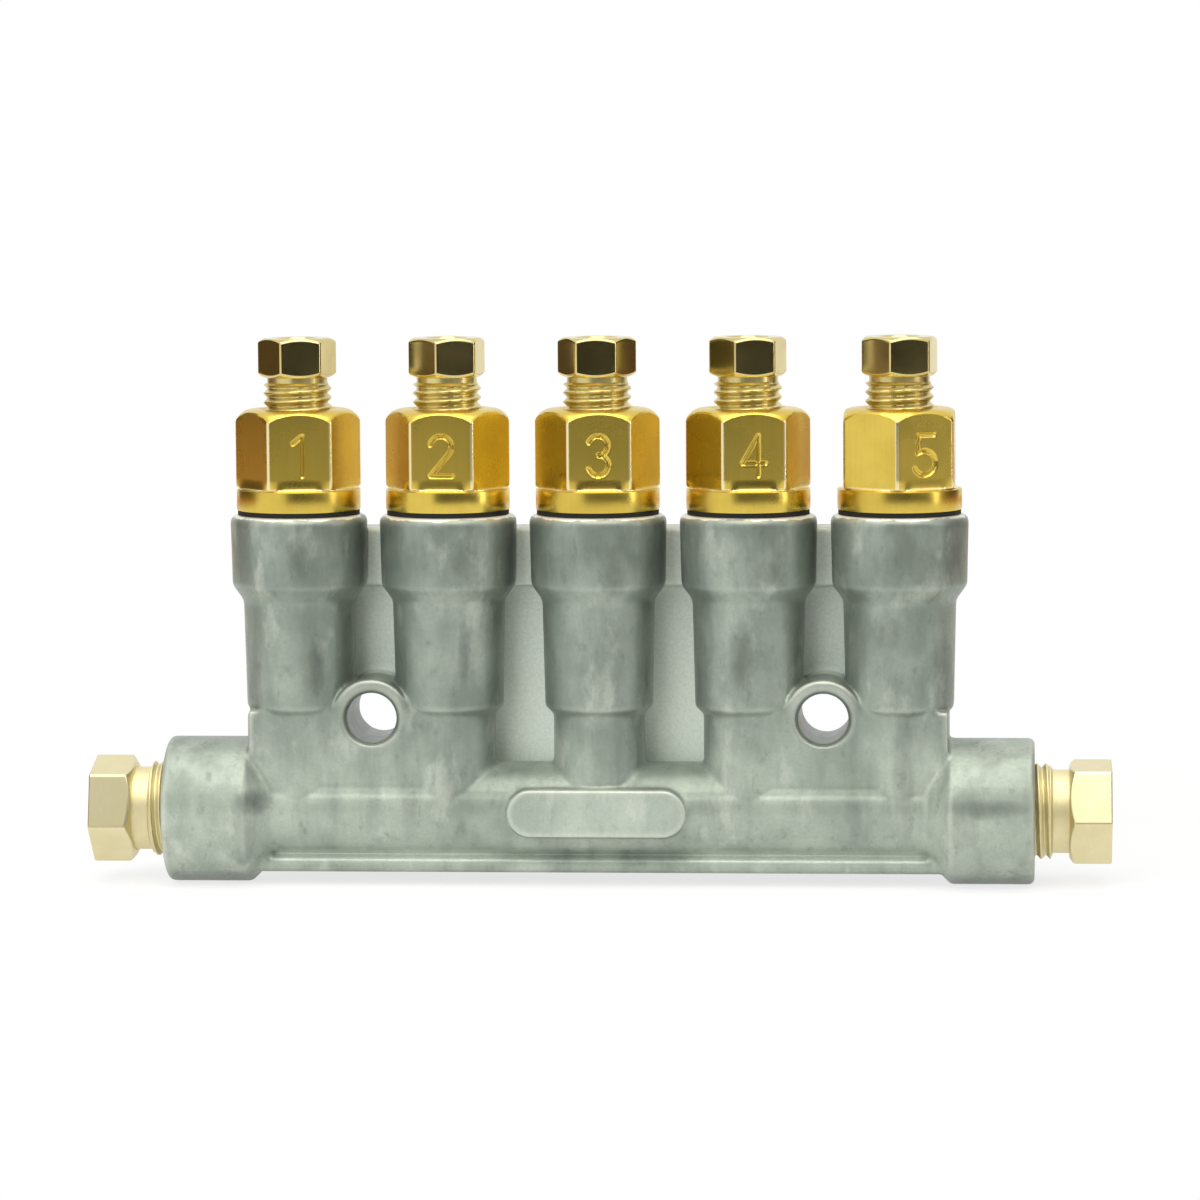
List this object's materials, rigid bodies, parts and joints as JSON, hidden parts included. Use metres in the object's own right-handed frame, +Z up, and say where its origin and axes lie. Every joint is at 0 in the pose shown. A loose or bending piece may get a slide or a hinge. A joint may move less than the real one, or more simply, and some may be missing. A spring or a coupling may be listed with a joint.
{
  "type": "lubricant divider block",
  "caption": "Die-cast manifold with a row of hexagonal brass metering valves, compression nuts on top for outlet tubes, and a supply fitting at each end.",
  "frame": {"origin": "on the flat back face, midway between the two mounting holes", "axes": "+X along the row to the viewer's right, +Y out of the back face, +Z up towards the outlets"},
  "size_m": [0.119, 0.0168, 0.0637],
  "materials": {
    "cast_metal": "as-cast satin grey",
    "valve_brass": "bright turned brass",
    "nut_brass": "darker turned brass",
    "inlet_brass": "pale turned brass",
    "inner_brass": "plain turned brass",
    "spring_steel": "drawn wire",
    "black_rubber": "matt black rubber"
  },
  "bodies": {
    "manifold": {"block": "cast_metal", "valve_body_1": "valve_brass", "valve_body_2": "valve_brass", "valve_body_3": "valve_brass", "valve_body_4": "valve_brass", "valve_body_5": "valve_brass", "sealing_washer_1": "black_rubber", "sealing_washer_2": "black_rubber", "sealing_washer_3": "black_rubber", "sealing_washer_4": "black_rubber", "sealing_washer_5": "black_rubber", "riser_tube_1": "inner_brass", "riser_tube_2": "inner_brass", "riser_tube_3": "inner_brass", "riser_tube_4": "inner_brass", "riser_tube_5": "inner_brass", "return_spring_1": "spring_steel", "return_spring_2": "spring_steel", "return_spring_3": "spring_steel", "return_spring_4": "spring_steel", "return_spring_5": "spring_steel"},
    "piston_1": {"piston_1": "inner_brass"},
    "check_1": {"check_valve_1": "black_rubber"},
    "piston_2": {"piston_2": "inner_brass"},
    "check_2": {"check_valve_2": "black_rubber"},
    "piston_3": {"piston_3": "inner_brass"},
    "check_3": {"check_valve_3": "black_rubber"},
    "piston_4": {"piston_4": "inner_brass"},
    "check_4": {"check_valve_4": "black_rubber"},
    "piston_5": {"piston_5": "inner_brass"},
    "check_5": {"check_valve_5": "black_rubber"},
    "ferrule_1": {"outlet_ferrule_1": "inner_brass"},
    "nut_1": {"outlet_nut_1": "nut_brass"},
    "ferrule_2": {"outlet_ferrule_2": "inner_brass"},
    "nut_2": {"outlet_nut_2": "nut_brass"},
    "ferrule_3": {"outlet_ferrule_3": "inner_brass"},
    "nut_3": {"outlet_nut_3": "nut_brass"},
    "ferrule_4": {"outlet_ferrule_4": "inner_brass"},
    "nut_4": {"outlet_nut_4": "nut_brass"},
    "ferrule_5": {"outlet_ferrule_5": "inner_brass"},
    "nut_5": {"outlet_nut_5": "nut_brass"},
    "left_ferrule": {"inlet_ferrule_left": "inner_brass"},
    "left_nut": {"inlet_nut_left": "inlet_brass"},
    "right_ferrule": {"inlet_ferrule_right": "inner_brass"},
    "right_nut": {"inlet_nut_right": "inlet_brass"}
  },
  "joints": [
    {"name": "piston_1_stroke", "type": "slide", "parent": "manifold", "child": "piston_1", "axis": [0, 0, 1], "range_m": [0, 0.006], "stiffness_N_per_m": 50, "springref_m": -0.004, "deforming": ["return_spring_1"]},
    {"name": "check_1_lift", "type": "slide", "parent": "manifold", "child": "check_1", "axis": [0, 0, 1], "range_m": [0, 0.0008]},
    {"name": "piston_2_stroke", "type": "slide", "parent": "manifold", "child": "piston_2", "axis": [0, 0, 1], "range_m": [0, 0.006], "stiffness_N_per_m": 50, "springref_m": -0.004, "deforming": ["return_spring_2"]},
    {"name": "check_2_lift", "type": "slide", "parent": "manifold", "child": "check_2", "axis": [0, 0, 1], "range_m": [0, 0.0008]},
    {"name": "piston_3_stroke", "type": "slide", "parent": "manifold", "child": "piston_3", "axis": [0, 0, 1], "range_m": [0, 0.006], "stiffness_N_per_m": 50, "springref_m": -0.004, "deforming": ["return_spring_3"]},
    {"name": "check_3_lift", "type": "slide", "parent": "manifold", "child": "check_3", "axis": [0, 0, 1], "range_m": [0, 0.0008]},
    {"name": "piston_4_stroke", "type": "slide", "parent": "manifold", "child": "piston_4", "axis": [0, 0, 1], "range_m": [0, 0.006], "stiffness_N_per_m": 50, "springref_m": -0.004, "deforming": ["return_spring_4"]},
    {"name": "check_4_lift", "type": "slide", "parent": "manifold", "child": "check_4", "axis": [0, 0, 1], "range_m": [0, 0.0008]},
    {"name": "piston_5_stroke", "type": "slide", "parent": "manifold", "child": "piston_5", "axis": [0, 0, 1], "range_m": [0, 0.006], "stiffness_N_per_m": 50, "springref_m": -0.004, "deforming": ["return_spring_5"]},
    {"name": "check_5_lift", "type": "slide", "parent": "manifold", "child": "check_5", "axis": [0, 0, 1], "range_m": [0, 0.0008]},
    {"name": "nut_1_advance", "type": "slide", "parent": "manifold", "child": "ferrule_1", "axis": [0, 0, 1], "range_m": [-0.00212, 0.00318]},
    {"name": "nut_1_turn", "type": "hinge", "parent": "ferrule_1", "child": "nut_1", "pos_m": [-0.035, -0.0083, 0.04], "axis": [0, 0, 1], "range_deg": [-720, 1080]},
    {"name": "nut_2_advance", "type": "slide", "parent": "manifold", "child": "ferrule_2", "axis": [0, 0, 1], "range_m": [-0.00212, 0.00318]},
    {"name": "nut_2_turn", "type": "hinge", "parent": "ferrule_2", "child": "nut_2", "pos_m": [-0.0175, -0.0083, 0.04], "axis": [0, 0, 1], "range_deg": [-720, 1080]},
    {"name": "nut_3_advance", "type": "slide", "parent": "manifold", "child": "ferrule_3", "axis": [0, 0, 1], "range_m": [-0.00212, 0.00318]},
    {"name": "nut_3_turn", "type": "hinge", "parent": "ferrule_3", "child": "nut_3", "pos_m": [0, -0.0083, 0.04], "axis": [0, 0, 1], "range_deg": [-720, 1080]},
    {"name": "nut_4_advance", "type": "slide", "parent": "manifold", "child": "ferrule_4", "axis": [0, 0, 1], "range_m": [-0.00212, 0.00318]},
    {"name": "nut_4_turn", "type": "hinge", "parent": "ferrule_4", "child": "nut_4", "pos_m": [0.0175, -0.0083, 0.04], "axis": [0, 0, 1], "range_deg": [-720, 1080]},
    {"name": "nut_5_advance", "type": "slide", "parent": "manifold", "child": "ferrule_5", "axis": [0, 0, 1], "range_m": [-0.00212, 0.00318]},
    {"name": "nut_5_turn", "type": "hinge", "parent": "ferrule_5", "child": "nut_5", "pos_m": [0.035, -0.0083, 0.04], "axis": [0, 0, 1], "range_deg": [-720, 1080]},
    {"name": "left_nut_advance", "type": "slide", "parent": "manifold", "child": "left_ferrule", "axis": [-1, 0, 0], "range_m": [-0.00212, 0.00318]},
    {"name": "left_nut_turn", "type": "hinge", "parent": "left_ferrule", "child": "left_nut", "pos_m": [-0.055, -0.0083, -0.0112], "axis": [-1, 0, 0], "range_deg": [-720, 1080]},
    {"name": "right_nut_advance", "type": "slide", "parent": "manifold", "child": "right_ferrule", "axis": [1, 0, 0], "range_m": [-0.00212, 0.00318]},
    {"name": "right_nut_turn", "type": "hinge", "parent": "right_ferrule", "child": "right_nut", "pos_m": [0.055, -0.0083, -0.0112], "axis": [1, 0, 0], "range_deg": [-720, 1080]}
  ],
  "couplings": [
    {"joint": "nut_1_turn", "follows": "nut_1_advance", "rad_per_m": 5926.9},
    {"joint": "nut_2_turn", "follows": "nut_2_advance", "rad_per_m": 5926.9},
    {"joint": "nut_3_turn", "follows": "nut_3_advance", "rad_per_m": 5926.9},
    {"joint": "nut_4_turn", "follows": "nut_4_advance", "rad_per_m": 5926.9},
    {"joint": "nut_5_turn", "follows": "nut_5_advance", "rad_per_m": 5926.9},
    {"joint": "left_nut_turn", "follows": "left_nut_advance", "rad_per_m": 5926.9},
    {"joint": "right_nut_turn", "follows": "right_nut_advance", "rad_per_m": 5926.9}
  ]
}
